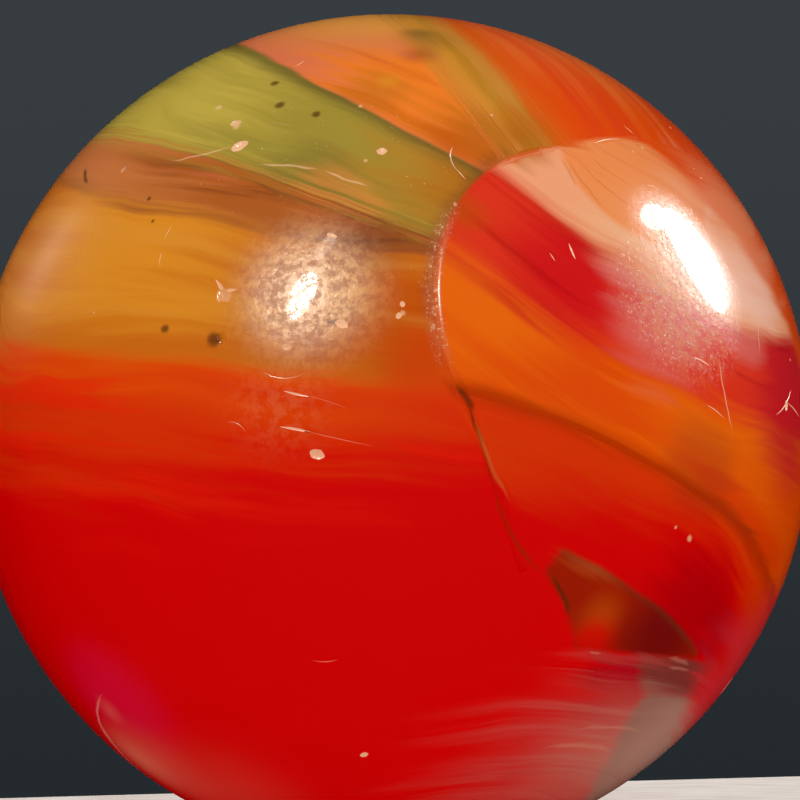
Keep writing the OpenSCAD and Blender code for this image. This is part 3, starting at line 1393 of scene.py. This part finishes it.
class WornBallTree:
    """The Geometry Nodes tree that makes a ball and cuts its marks into it.

    It takes a mesh of marks: each lone vertex is the centre of a cutter, and each chain of edges
    is the path of a groove's cutter. Small pits are scattered over the ball besides. The faces of
    every cut carry how pale their broken glass is, as the attribute "broken".
    """

    name = "worn_ball"
    inputs = {
        "Marks": "Geometry",
        "Diameter": "Float",
        "Detail": "Int",
        "Raggedness": "Float",
        "Unevenness": "Float",
        "Pits per Square": "Float",
        "Smallest Pit": "Float",
        "Largest Pit": "Float",
        "Rim Angle": "Float",
        "Seed": "Int",
        "Material": "Material",
    }

    def tree(self) -> bpy.types.NodeTree:
        """Returns the finished tree.

        Returns:
            The tree.
        """
        made = bpy.data.node_groups.new(self.name, "GeometryNodeTree")
        made.interface.new_socket(name="Ball", in_out="OUTPUT", socket_type="NodeSocketGeometry")
        for name, kind in self.inputs.items():
            made.interface.new_socket(name=name, in_out="INPUT", socket_type=f"NodeSocket{kind}")
        bench = Bench(made)
        given = bench.node("NodeGroupInput").outputs
        feeds = {"Radius": bench.math("MULTIPLY", given["Diameter"], 0.5), "Subdivisions": given["Detail"]}
        plain = bench.node("GeometryNodeMeshIcoSphere", feeds).outputs["Mesh"]
        ball = self.stored(bench, plain, "broken", 0.0, domain="FACE")
        cutters = (self.grooves(bench, given), self.chips(bench, given), self.pits(bench, given, plain))
        for cutter in cutters:
            cut = bench.node("GeometryNodeMeshBoolean", operation="DIFFERENCE", solver="MANIFOLD")
            bench.feed(cut.inputs["Mesh 1"], ball)
            bench.feed(cut.inputs["Mesh 2"], cutter)
            ball = cut.outputs["Mesh"]
        result = bench.node("NodeGroupOutput")
        bench.feed(result.inputs["Ball"], self.finish(bench, given, ball))
        return made

    def named(self, bench: Bench, name: str, kind: str = "FLOAT") -> bpy.types.NodeSocket:
        """Returns a named attribute."""
        made = bench.node("GeometryNodeInputNamedAttribute", {"Name": name}, data_type=kind)
        return made.outputs["Attribute"]

    def stored(
        self,
        bench: Bench,
        shape: Feed,
        name: str,
        value: Feed,
        kind: str = "FLOAT",
        domain: str = "POINT",
    ) -> bpy.types.NodeSocket:
        """Returns a shape that carries a value as a named attribute.

        Args:
            bench: Where the nodes are made.
            shape: The shape.
            name: The attribute's name.
            value: The value.
            kind: The type of the value.
            domain: What each value belongs to.

        Returns:
            The output socket.
        """
        feeds = {"Geometry": shape, "Name": name, "Value": value}
        made = bench.node("GeometryNodeStoreNamedAttribute", data_type=kind, domain=domain)
        for key, feed in feeds.items():
            bench.feed(made.inputs[key], feed)
        return made.outputs["Geometry"]

    def grooves(self, bench: Bench, given: Any) -> bpy.types.NodeSocket:
        """Returns the cutters that are swept along the chains, uneven in width.

        Args:
            bench: Where the nodes are made.
            given: The tree's inputs.

        Returns:
            The output socket.
        """
        paths = bench.node("GeometryNodeMeshToCurve", {"Mesh": given["Marks"]}).outputs["Curve"]
        circle = bench.node("GeometryNodeCurvePrimitiveCircle", {"Resolution": 40, "Radius": 1.0})
        place = bench.node("GeometryNodeInputPosition").outputs["Position"]
        swell = bench.math("SUBTRACT", bench.noise(place, 2.2 / MM, 1.0), 0.5)
        uneven = bench.math("MULTIPLY", swell, self.named(bench, "uneven"))
        share = bench.math("MULTIPLY_ADD", uneven, given["Unevenness"], 1.0)
        size = bench.math("MULTIPLY", self.named(bench, "tool"), share)
        feeds = {"Curve": paths, "Profile Curve": circle.outputs["Curve"], "Scale": size, "Fill Caps": True}
        swept = bench.node("GeometryNodeCurveToMesh", feeds).outputs["Mesh"]
        return self.stored(bench, swept, "broken", self.named(bench, "pale"), domain="FACE")

    def chips(self, bench: Bench, given: Any) -> bpy.types.NodeSocket:
        """Returns a ragged cutter at each lone vertex, scaled and turned as its attributes say.

        Args:
            bench: Where the nodes are made.
            given: The tree's inputs.

        Returns:
            The output socket.
        """
        out = bench.node("GeometryNodeInputPosition").outputs["Position"]
        marks = self.stored(bench, given["Marks"], "centre", out, kind="FLOAT_VECTOR")
        alone = bench.node("GeometryNodeInputMeshVertexNeighbors").outputs["Vertex Count"]
        lone = bench.node("FunctionNodeCompare", {2: alone, 3: 0}, data_type="INT", operation="EQUAL")
        facing = bench.node("FunctionNodeAlignRotationToVector", {"Vector": out}, axis="Z", pivot_axis="X")
        feeds = {"Axis": (0.0, 0.0, 1.0), "Angle": self.named(bench, "turn")}
        spin = bench.node("FunctionNodeAxisAngleToRotation", feeds)
        feeds = {"Rotation": facing.outputs[0], "Rotate By": spin.outputs[0]}
        turned = bench.node("FunctionNodeRotateRotation", feeds, rotation_space="LOCAL")
        feeds = {
            "Points": marks,
            "Selection": lone.outputs[0],
            "Instance": bench.node("GeometryNodeMeshIcoSphere", {"Subdivisions": 5}).outputs["Mesh"],
            "Rotation": turned.outputs[0],
            "Scale": self.named(bench, "scale", "FLOAT_VECTOR"),
        }
        placed = bench.node("GeometryNodeInstanceOnPoints", feeds).outputs["Instances"]
        whole = bench.node("GeometryNodeRealizeInstances", {"Geometry": placed}).outputs["Geometry"]
        worn = self.ragged(bench, given, whole)
        return self.stored(bench, worn, "broken", self.named(bench, "pale"), domain="FACE")

    def ragged(self, bench: Bench, given: Any, cutters: Feed) -> bpy.types.NodeSocket:
        """Returns cutters whose surfaces swell and dip, each in its own way.

        Args:
            bench: Where the nodes are made.
            given: The tree's inputs.
            cutters: The smooth cutters.

        Returns:
            The output socket.
        """
        centre = self.named(bench, "centre", "FLOAT_VECTOR")
        place = bench.node("GeometryNodeInputPosition").outputs["Position"]
        away = bench.vector("NORMALIZE", bench.vector("SUBTRACT", place, centre))
        seeded = bench.vector("ADD", bench.scale(away, 2.4), bench.scale(centre, 1.0 / MM))
        swell = bench.math("SUBTRACT", bench.noise(seeded, 1.0, 3.0, 0.55), 0.5)
        amount = bench.math("MULTIPLY", self.named(bench, "rough"), given["Raggedness"])
        push = bench.scale(away, bench.math("MULTIPLY", swell, amount))
        moved = bench.node("GeometryNodeSetPosition", {"Geometry": cutters, "Offset": push})
        return moved.outputs["Geometry"]

    def pits(self, bench: Bench, given: Any, ball: Feed) -> bpy.types.NodeSocket:
        """Returns the small cutters that are scattered over the ball in clusters.

        Args:
            bench: Where the nodes are made.
            given: The tree's inputs.
            ball: The ball before any cut.

        Returns:
            The output socket.
        """
        place = bench.node("GeometryNodeInputPosition").outputs["Position"]
        crowd = bench.ramp(bench.noise(place, 0.3 / MM, 2.0), 0.45, 0.7)
        height = bench.node("ShaderNodeSeparateXYZ", {"Vector": place}).outputs["Z"]
        above = bench.ramp(height, -2.5 * MM, 1.0 * MM)
        crowd = bench.math("MULTIPLY", crowd, bench.math("MULTIPLY_ADD", above, 0.85, 0.15))
        density = bench.math("MULTIPLY", given["Pits per Square"], crowd)
        feeds = {"Mesh": ball, "Density": density, "Seed": given["Seed"]}
        spread = bench.node("GeometryNodeDistributePointsOnFaces", feeds)
        size = bench.node("FunctionNodeRandomValue", data_type="FLOAT")
        for key, feed in ((2, given["Smallest Pit"]), (3, given["Largest Pit"]), ("Seed", given["Seed"])):
            bench.feed(size.inputs[key], feed)
        radius = size.outputs[1]
        lift = bench.scale(spread.outputs["Normal"], bench.math("MULTIPLY", radius, 0.8))
        feeds = {"Geometry": spread.outputs["Points"], "Offset": lift}
        lifted = bench.node("GeometryNodeSetPosition", feeds).outputs["Geometry"]
        tool = bench.node("GeometryNodeMeshIcoSphere", {"Subdivisions": 3}).outputs["Mesh"]
        feeds = {"Points": lifted, "Instance": tool, "Scale": radius}
        placed = bench.node("GeometryNodeInstanceOnPoints", feeds).outputs["Instances"]
        whole = bench.node("GeometryNodeRealizeInstances", {"Geometry": placed}).outputs["Geometry"]
        shade = bench.ramp(bench.noise(place, 1.1 / MM, 0.0), 0.4, 0.6)
        return self.stored(bench, whole, "broken", shade, domain="FACE")

    def finish(self, bench: Bench, given: Any, ball: Feed) -> bpy.types.NodeSocket:
        """Returns the ball shaded smooth but for its rims, with its material on.

        Args:
            bench: Where the nodes are made.
            given: The tree's inputs.
            ball: The ball with its cuts.

        Returns:
            The output socket.
        """
        smooth = bench.node("GeometryNodeSetShadeSmooth", {"Geometry": ball, "Shade Smooth": True})
        angle = bench.node("GeometryNodeInputMeshEdgeAngle").outputs["Unsigned Angle"]
        feeds = {0: angle, 1: given["Rim Angle"]}
        steep = bench.node("FunctionNodeCompare", feeds, data_type="FLOAT", operation="GREATER_THAN")
        feeds = {"Geometry": smooth.outputs[0], "Selection": steep.outputs[0], "Shade Smooth": False}
        rimmed = bench.node("GeometryNodeSetShadeSmooth", feeds, domain="EDGE")
        whole = bench.node("GeometryNodeRealizeInstances", {"Geometry": rimmed.outputs[0]})
        feeds = {"Geometry": whole.outputs["Geometry"], "Material": given["Material"]}
        return bench.node("GeometryNodeSetMaterial", feeds).outputs["Geometry"]


# Chips: bearing and height, width and depth in millimetres, length over width, turn, paleness.
CHIPS = (
    Chip((-27, 40), 0.19, 0.030, 1.7, 20, 1.0),
    Chip((-23, 18), 0.20, 0.025, 1.4, -35, 0.4),
    Chip((-22.5, 12), 0.20, 0.040, 1.3, 60, 0.0),
    Chip((-1.5, 39), 0.16, 0.030, 1.2, 10, 1.0),
    Chip((-9.5, -2.5), 0.17, 0.025, 1.6, -12, 0.8),
    Chip((-6.5, 14), 0.15, 0.025, 1.6, -20, 1.0),
    Chip((-13.5, 11), 0.13, 0.025, 1.2, 0, 0.8),
    Chip((-5, -46), 0.11, 0.020, 1.5, 35, 0.9),
    Chip((-50, 37), 0.10, 0.025, 2.6, 40, 0.5),
    Chip((66, 4), 0.12, 0.025, 1.8, 70, 1.0),
    # These small chips by the fold and the crown are painted pale to white, partly as the glints seen
    # there.
    Chip((6, 18.5), 0.10, 0.022, 1.5, 80, 1.0),
    Chip((1.5, 16.5), 0.09, 0.022, 1.2, 90, 1.0),
    Chip((1, 15), 0.10, 0.022, 1.2, 60, 1.0),
    Chip((6, 14.5), 0.07, 0.016, 2.4, 75, 0.8),
    Chip((-8.5, 26), 0.08, 0.015, 2.4, -25, 1.0),
    Chip((-30, 44.5), 0.12, 0.020, 1.8, 0, 0.8),
    Chip((148, 22), 0.44, 0.045, 1.2, 15, 0.8),
    Chip((-118, -14), 0.42, 0.045, 1.3, -30, 0.8),
    Chip((80, -36), 0.24, 0.030, 1.4, 30, 0.15),
    Chip((96, 30), 0.22, 0.030, 1.3, -40, 0.9),
    Chip((-170, -6), 0.25, 0.030, 1.2, 70, 0.9),
    Chip((-84, 31), 0.22, 0.030, 1.6, 20, 0.9),
    Chip((118, -32), 0.25, 0.030, 1.2, -10, 0.9),
)


def scratch(through: tuple[float, ...], width: float, depth: float, pale: float = 0.9) -> Groove:
    """Returns a scratch.

    Args:
        through: Bearing and height of its start, its middle and its end.
        width: Its width in millimetres.
        depth: Its depth in millimetres.
        pale: How pale its broken glass is, from 0 to 1.

    Returns:
        The groove.
    """
    bend = Bend(through[0:2], through[2:4], through[4:6])
    return Groove(bend.directions(0.8), width, depth, 0.35, pale)


SCRATCHES = (
    scratch((-24, 57.2, -23, 58, -22.5, 58.8), 0.035, 0.007, 0.7),
    scratch((-22.5, 44.6, -20, 44.2, -17.5, 43.6), 0.016, 0.004, 0.3),
    scratch((10.3, 39.8, 9.7, 37.8, 10.4, 35.9), 0.025, 0.006, 0.8),
    scratch((10.4, 36, 11, 35.2, 11.6, 34.4), 0.022, 0.006, 0.7),
    scratch((38, 41.2, 42, 42.1, 45, 42.2), 0.025, 0.005, 0.5),
    scratch((49, 45, 49.6, 44.2, 50, 43.4), 0.03, 0.006, 0.6),
    scratch((25.8, 25, 26, 24, 26.3, 22.8), 0.04, 0.008, 0.8),
    scratch((22.5, 23.6, 22.8, 23.1, 23.1, 22.5), 0.03, 0.007, 0.7),
    scratch((62, 2.5, 66.3, 4.3, 68.4, 5.8), 0.035, 0.008, 0.7),
    scratch((66.5, 4.1, 69.2, 3.3, 71.6, 2.3), 0.035, 0.008, 0.7),
    scratch((43.3, 9.9, 45, 9.5, 46.5, 8.7), 0.03, 0.006, 0.6),
    scratch((45.2, 3.7, 47, 3, 48.6, 2), 0.03, 0.006, 0.5),
    scratch((-14, 0.9, -12.5, 0.7, -10, 0.2), 0.05, 0.009, 0.7),
    scratch((-11, 0.4, -7, -0.5, -2.4, -1.5), 0.018, 0.004, 0.25),
    scratch((-21, 1.5, -19.6, 1.3, -18.6, 0.3), 0.02, 0.005, 0.3),
    scratch((-16.6, 7.9, -13.5, 7, -10.8, 7.7), 0.018, 0.004, 0.3),
    scratch((-13.6, 5.4, -12, 5, -10.5, 4.7), 0.045, 0.008, 0.7),
    scratch((-11, 4.9, -8.3, 4.2, -5.4, 3.1), 0.016, 0.004, 0.2),
    scratch((-11.5, -30, -9.7, -30.2, -7.7, -29.8), 0.016, 0.004, 0.3),
    scratch((-24.4, 20, -23.6, 19.2, -22.6, 17.6), 0.09, 0.012, 0.6),
    scratch((-23.2, 18.2, -22.2, 18.4, -21, 18.6), 0.08, 0.012, 0.7),
    scratch((-23.4, 18.6, -23.6, 17.6, -23.2, 16.8), 0.07, 0.012, 0.6),
    scratch((-33.5, 28, -34, 26.5, -34.2, 25.4), 0.02, 0.005, 0.2),
    scratch((-34, 23.8, -34, 22.8, -33.6, 21.8), 0.03, 0.006, 0.4),
    scratch((128, 3, 138, 5, 147, 6), 0.04, 0.008, 0.6),
    scratch((-158, 20, -151, 15, -144, 9), 0.04, 0.008, 0.6),
    scratch((-96, 8, -93, 2, -89, -5), 0.03, 0.007, 0.6),
    scratch((98, -12, 104, -15, 111, -16), 0.04, 0.008, 0.6),
    scratch((172, 40, 178, 36, -177, 31), 0.04, 0.008, 0.6),
)


@dataclass(frozen=True)
class Ball:
    """The ball, with the crease of its fold and the chips, pits and scratches of play.

    Lengths here are in millimetres, but for the radius.

    Args:
        name: The piece's name.
        radius: Its radius, in metres.
    """

    name: str
    radius: float
    detail: int = 7
    raggedness: float = 1.4
    unevenness: float = 0.5
    pits: float = 0.35
    smallest_pit: float = 0.018
    largest_pit: float = 0.04
    rim_angle: float = 12.0
    seed: int = 3
    crease_centre: Place = Place(31, 16)
    crease_bend: float = 24.0
    bend_from: float = 100.0
    bend_to: float = 204.0
    crease_width: float = 0.16
    crease_depth: float = 0.022
    crease_tail: float = 3.4
    tail_turn: float = 7.0

    def build(self, material: bpy.types.Material) -> bpy.types.Object:
        """Makes the ball.

        Args:
            material: What it is made of.

        Returns:
            The finished piece, with no modifier left on it.
        """
        marks = self.marks()
        piece = bpy.data.objects.new(self.name, marks)
        bpy.context.scene.collection.objects.link(piece)
        tree = WornBallTree().tree()
        modifier = piece.modifiers.new("worn", "NODES")
        modifier.node_group = tree
        values = {
            "Diameter": 2 * self.radius,
            "Detail": self.detail,
            "Raggedness": self.raggedness,
            "Unevenness": self.unevenness,
            "Pits per Square": self.pits / MM**2,
            "Smallest Pit": self.smallest_pit * MM,
            "Largest Pit": self.largest_pit * MM,
            "Rim Angle": math.radians(self.rim_angle),
            "Seed": self.seed,
            "Material": material,
        }
        for item in tree.interface.items_tree:
            if item.name in values:
                modifier[item.identifier] = values[item.name]
        evaluated = piece.evaluated_get(bpy.context.evaluated_depsgraph_get())
        mesh = bpy.data.meshes.new_from_object(evaluated)
        mesh.name = self.name
        piece.modifiers.clear()
        piece.data = mesh
        bpy.data.meshes.remove(marks)
        return piece

    def crease(self) -> Groove:
        """Returns the crease: a bend and the straight tail that runs on from it.

        Returns:
            The groove.
        """
        bend = ring(self.crease_centre, self.crease_bend, self.bend_from, self.bend_to, 2.0)
        onward = Matrix.Rotation(math.radians(-self.tail_turn), 3, bend[-1]) @ (bend[-1] - bend[-2])
        heading = (onward - bend[-1] * onward.dot(bend[-1])).normalized()
        tail = run(bend[-1], heading, math.degrees(self.crease_tail * MM / self.radius), 0.8)
        return Groove(bend + tail, self.crease_width, self.crease_depth, 0.0, 0.0)

    def chip_marks(self) -> list[Mark]:
        """Returns the marks of the chips.

        Returns:
            One mark for each chip.
        """
        found = []
        for chip in CHIPS:
            cutter = Cutter(self.radius, chip.width * MM, chip.depth * MM)
            place, size = Place(*chip.at).direction() * cutter.reach(), cutter.radius()
            scale = (size * chip.stretch, size, size)
            turn = math.radians(chip.turn)
            found.append(Mark(place, size, chip.pale, turn=turn, rough=chip.depth * MM, scale=scale))
        return found

    def groove_marks(self, groove: Groove) -> list[Mark]:
        """Returns the marks along a groove.

        Args:
            groove: The groove.

        Returns:
            Its marks in order.
        """
        found = []
        for direction, cutter in zip(groove.path, groove.cutters(self.radius)):
            uneven = cutter.depth / cutter.radius() if groove.taper else 0.0
            found.append(Mark(direction * cutter.reach(), cutter.radius(), groove.pale, uneven=uneven))
        return found

    def marks(self) -> bpy.types.Mesh:
        """Returns the mesh of marks that the tree cuts into the ball.

        Returns:
            The mesh: a lone point for each chip, and a chain for each groove.
        """
        marks, edges = self.chip_marks(), []
        for groove in (self.crease(), *SCRATCHES):
            first = len(marks)
            marks.extend(self.groove_marks(groove))
            edges.extend((step, step + 1) for step in range(first, len(marks) - 1))
        mesh = bpy.data.meshes.new("marks")
        mesh.from_pydata([mark.place for mark in marks], edges, [])
        for name in ("tool", "pale", "turn", "rough", "uneven"):
            values = [getattr(mark, name) for mark in marks]
            mesh.attributes.new(name, "FLOAT", "POINT").data.foreach_set("value", values)
        scales = [part for mark in marks for part in mark.scale]
        mesh.attributes.new("scale", "FLOAT_VECTOR", "POINT").data.foreach_set("vector", scales)
        return mesh


# ---------------------------------------------------------------- the studio


@dataclass(frozen=True)
class Lamp:
    """A soft lamp that only glints, since the tent gives the even light.

    Args:
        name: Its name.
        towards: The direction from the ball towards it.
        width: Its width, in ball radii.
        length: Its length, in ball radii.
        roll: How far it is turned about its own beam, in degrees.
        radiance: How bright its face is.
        colour: The colour of its light.
    """

    name: str
    towards: tuple[float, float, float]
    width: float
    length: float
    roll: float
    radiance: float
    colour: tuple[float, float, float] = (1.0, 1.0, 1.0)

    def place(self, radius: float, distance: float) -> None:
        """Adds the lamp to the scene.

        Args:
            radius: Radius of the ball.
            distance: How far off the lamp is, in ball radii.
        """
        data = bpy.data.lights.new(self.name, "AREA")
        data.shape = "ELLIPSE"
        data.size, data.size_y = self.width * radius, self.length * radius
        data.energy = self.radiance * math.pi * data.size * data.size_y
        data.color = self.colour
        made = bpy.data.objects.new(self.name, data)
        away = Vector(self.towards).normalized()
        roll = Matrix.Rotation(math.radians(self.roll), 4, "Z")
        turn = away.to_track_quat("Z", "Y").to_matrix().to_4x4() @ roll
        made.matrix_world = Matrix.Translation(away * distance * radius) @ turn
        made.visible_diffuse = False
        made.visible_camera = False
        bpy.context.scene.collection.objects.link(made)


WARM = (1.0, 0.94, 0.77)
LAMPS = (
    Lamp("key", (-0.374, -0.722, 0.582), 4.2, 9.0, -10.0, 85.0, WARM),
    Lamp("key_top", (-0.27, -0.60, 0.755), 2.6, 5.0, -18.0, 9.0, WARM),
    Lamp("window", (0.817, 0.33, 0.47), 10.0, 13.0, -8.0, 22.0),
    Lamp("window_top", (0.75, 0.24, 0.615), 8.0, 3.5, -16.0, 15.0),
    Lamp("rim", (-0.704, 0.61, 0.363), 4.0, 9.0, 0.0, 2.0),
)


@dataclass(frozen=True)
class LimedWood:
    """The board's pale finish, with a faint grain along its back edge.

    Args:
        name: The material's name.
        unit: The length that its grain is measured in.
        turn: How far the grain is turned from level, in degrees.
    """

    name: str
    unit: float
    turn: float

    pore: ClassVar[Colour] = (0.60, 0.52, 0.46, 1.0)
    lime: ClassVar[Colour] = (0.78, 0.72, 0.66, 1.0)
    squeeze: ClassVar[float] = 9.0

    def material(self) -> bpy.types.Material:
        """Returns the finished material.

        Returns:
            The material.
        """
        made, bench = blank_material(self.name)
        point = bench.scale(bench.node("ShaderNodeTexCoord").outputs["Object"], 1 / self.unit)
        turned = bench.node("ShaderNodeMapping", {"Vector": point}, vector_type="POINT")
        turned.inputs["Rotation"].default_value = (0.0, 0.0, math.radians(-self.turn))
        turned.inputs["Scale"].default_value = (1.0, self.squeeze, 1.0)
        grain = bench.ramp(bench.noise(turned.outputs["Vector"], 4.0, 5.0, 0.6), 0.35, 0.7)
        wood = bench.node("ShaderNodeBsdfPrincipled", {"Roughness": 0.6})
        bench.feed(wood.inputs["Base Color"], bench.mix(grain, self.pore, self.lime))
        output = bench.node("ShaderNodeOutputMaterial")
        bench.feed(output.inputs["Surface"], wood.outputs["BSDF"])
        return made


@dataclass(frozen=True)
class Studio:
    """The camera, the lights, the backdrop and the board that the ball lies on.

    Args:
        radius: Radius of the ball, from which all else is worked out.
        floor: Height of the board's top.
    """

    radius: float
    floor: float

    camera_distance: ClassVar[float] = 11.25
    camera_aim: ClassVar[tuple[float, float, float]] = (0.0215, 0.0, 0.08125)
    sensor: ClassVar[float] = 36.0
    lens: ClassVar[float] = 211.77
    light_distance: ClassVar[float] = 40.0
    tent: ClassVar[float] = 1.08
    overhead: ClassVar[float] = 0.5
    reflected: ClassVar[float] = 0.25
    haze: ClassVar[float] = 0.005
    slate_below: ClassVar[Colour] = (0.0225, 0.0275, 0.031, 1.0)
    slate_above: ClassVar[Colour] = (0.043, 0.0505, 0.057, 1.0)
    board_size: ClassVar[tuple[float, float, float]] = (16.0, 12.0, 4.0)
    board_turn: ClassVar[float] = 20.0
    board_edge: ClassVar[tuple[float, float, float]] = (0.254, 2.16, 0.0)

    def build(self) -> None:
        """Builds all of it."""
        self.camera()
        self.world()
        self.board()
        for lamp in LAMPS:
            lamp.place(self.radius, self.light_distance)
        view = bpy.context.scene.view_settings
        view.view_transform = "Standard"
        view.use_curve_mapping = True
        view.curve_mapping.black_level = (self.haze, self.haze, self.haze)
        view.curve_mapping.update()

    def camera(self) -> None:
        """Places the camera, level with the ball's centre."""
        data = bpy.data.cameras.new("camera")
        data.sensor_width, data.lens = self.sensor, self.lens
        data.clip_start, data.clip_end = 0.1 * self.radius, 500 * self.radius
        made = bpy.data.objects.new("camera", data)
        made.location = (0.0, -self.camera_distance * self.radius, 0.0)
        aim = Vector(self.camera_aim) * self.radius
        made.rotation_euler = (aim - made.location).to_track_quat("-Z", "Y").to_euler()
        bpy.context.scene.collection.objects.link(made)
        bpy.context.scene.camera = made

    def world(self) -> None:
        """Makes a slate backdrop that lights the ball evenly, as a studio tent does."""
        made = bpy.data.worlds.new("studio")
        made.use_nodes = True
        made.node_tree.nodes.clear()
        made.cycles.sampling_method = "NONE"
        bench = Bench(made.node_tree)
        along = bench.node("ShaderNodeTexCoord").outputs["Generated"]
        split = bench.node("ShaderNodeSeparateXYZ", {"Vector": along})
        up = bench.ramp(split.outputs["Z"], -0.08, 0.085)
        slate = bench.mix(up, self.slate_below, self.slate_above)
        path = bench.node("ShaderNodeLightPath")
        dimmed = bench.math("MULTIPLY_ADD", path.outputs["Is Glossy Ray"], self.reflected - 1.0, 1.0)
        seen = bench.node("ShaderNodeBackground", {"Color": slate, "Strength": dimmed})
        overhead = bench.ramp(split.outputs["Z"], 0.3, 1.0)
        strength = bench.math("MULTIPLY_ADD", overhead, self.overhead, self.tent)
        tent = bench.node("ShaderNodeBackground", {"Color": (1.0, 1.0, 1.0, 1.0), "Strength": strength})
        feeds = {0: path.outputs["Is Diffuse Ray"], 1: seen.outputs[0], 2: tent.outputs[0]}
        both = bench.node("ShaderNodeMixShader", feeds)
        output = bench.node("ShaderNodeOutputWorld")
        bench.feed(output.inputs["Surface"], both.outputs[0])
        bpy.context.scene.world = made

    def board(self) -> None:
        """Adds the pale board, with its back edge turned a little from the camera."""
        mesh = bpy.data.meshes.new("board")
        form = bmesh.new()
        bmesh.ops.create_cube(form, size=1.0)
        turn = Matrix.Rotation(math.radians(self.board_turn), 3, "Z")
        edge = Vector(self.board_edge)
        width, depth, thickness = self.board_size
        for corner in form.verts:
            x, y, z = corner.co
            flat = Vector((x * width, (y - 0.5) * depth, (z - 0.5) * thickness))
            corner.co = (turn @ flat + edge) * self.radius + Vector((0.0, 0.0, self.floor))
        form.to_mesh(mesh)
        form.free()
        mesh.materials.append(LimedWood("limed_wood", self.radius, self.board_turn).material())
        made = bpy.data.objects.new("board", mesh)
        bpy.context.scene.collection.objects.link(made)
        made.visible_glossy = False
        made.visible_diffuse = False


def main() -> None:
    """Builds the ball and the studio round it."""
    logging.basicConfig(level=logging.INFO, format="%(message)s")
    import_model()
    low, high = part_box("marble")
    radius = (high[2] - low[2]) / 2
    Studio(radius, low[2]).build()
    ball = Ball("swirled_ball", radius).build(SwirledGlass("swirled_glass").material())
    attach(ball, "root")
    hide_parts("marble")
    LOG.info("%s: %d faces", ball.name, len(ball.data.polygons))


if __name__ == "__main__":
    main()
